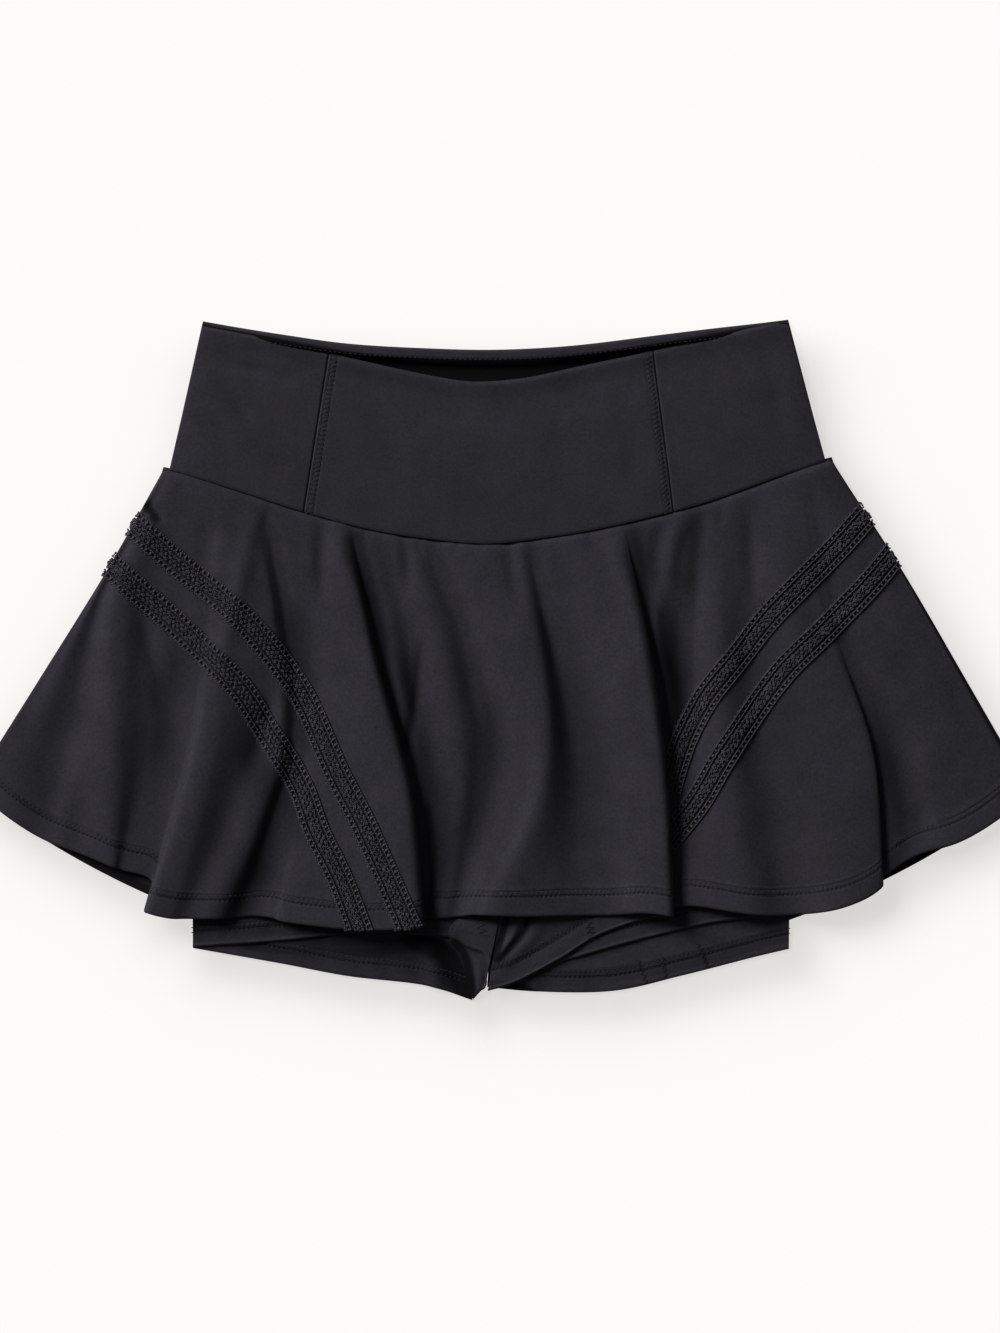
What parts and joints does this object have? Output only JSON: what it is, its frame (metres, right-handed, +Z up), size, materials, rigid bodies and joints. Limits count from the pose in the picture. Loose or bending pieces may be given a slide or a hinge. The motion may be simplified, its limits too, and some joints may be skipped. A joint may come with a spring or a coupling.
{
  "type": "tennis skort",
  "caption": "Pull-on sports skort laid flat, front up: a flared knit skirt with crochet lace strips over fitted shorts, on a high stretch waistband.",
  "frame": {"origin": "centre of the garment's outline, on the surface it lies on", "axes": "+X across the garment to the wearer's left, +Y along it to the waist, +Z up from the surface through the front"},
  "size_m": [0.636, 0.4093, 0.0191],
  "materials": {
    "band_knit": "matte charcoal double knit, brushed smooth, with a faint soft sheen",
    "skirt_knit": "matte charcoal stretch jersey with a faint soft sheen",
    "shorts_knit": "matte charcoal stretch jersey with coverstitched hems",
    "lace": "matte black cotton crochet lace with a ladder edge, knots and small picots"
  },
  "bodies": {
    "root": {"waistband_front_center": "band_knit", "waistband_front_right": "band_knit", "waistband_front_left": "band_knit", "waistband_back": "band_knit", "skirt_front": "skirt_knit", "skirt_back": "skirt_knit", "trim_upper_right": "lace", "trim_lower_right": "lace", "trim_upper_left": "lace", "trim_lower_left": "lace", "shorts_front_right": "shorts_knit", "shorts_back_right": "shorts_knit", "shorts_front_left": "shorts_knit", "shorts_front_left_fold": "shorts_knit", "shorts_back_left": "shorts_knit", "shorts_gusset": "shorts_knit"}
  },
  "joints": []
}
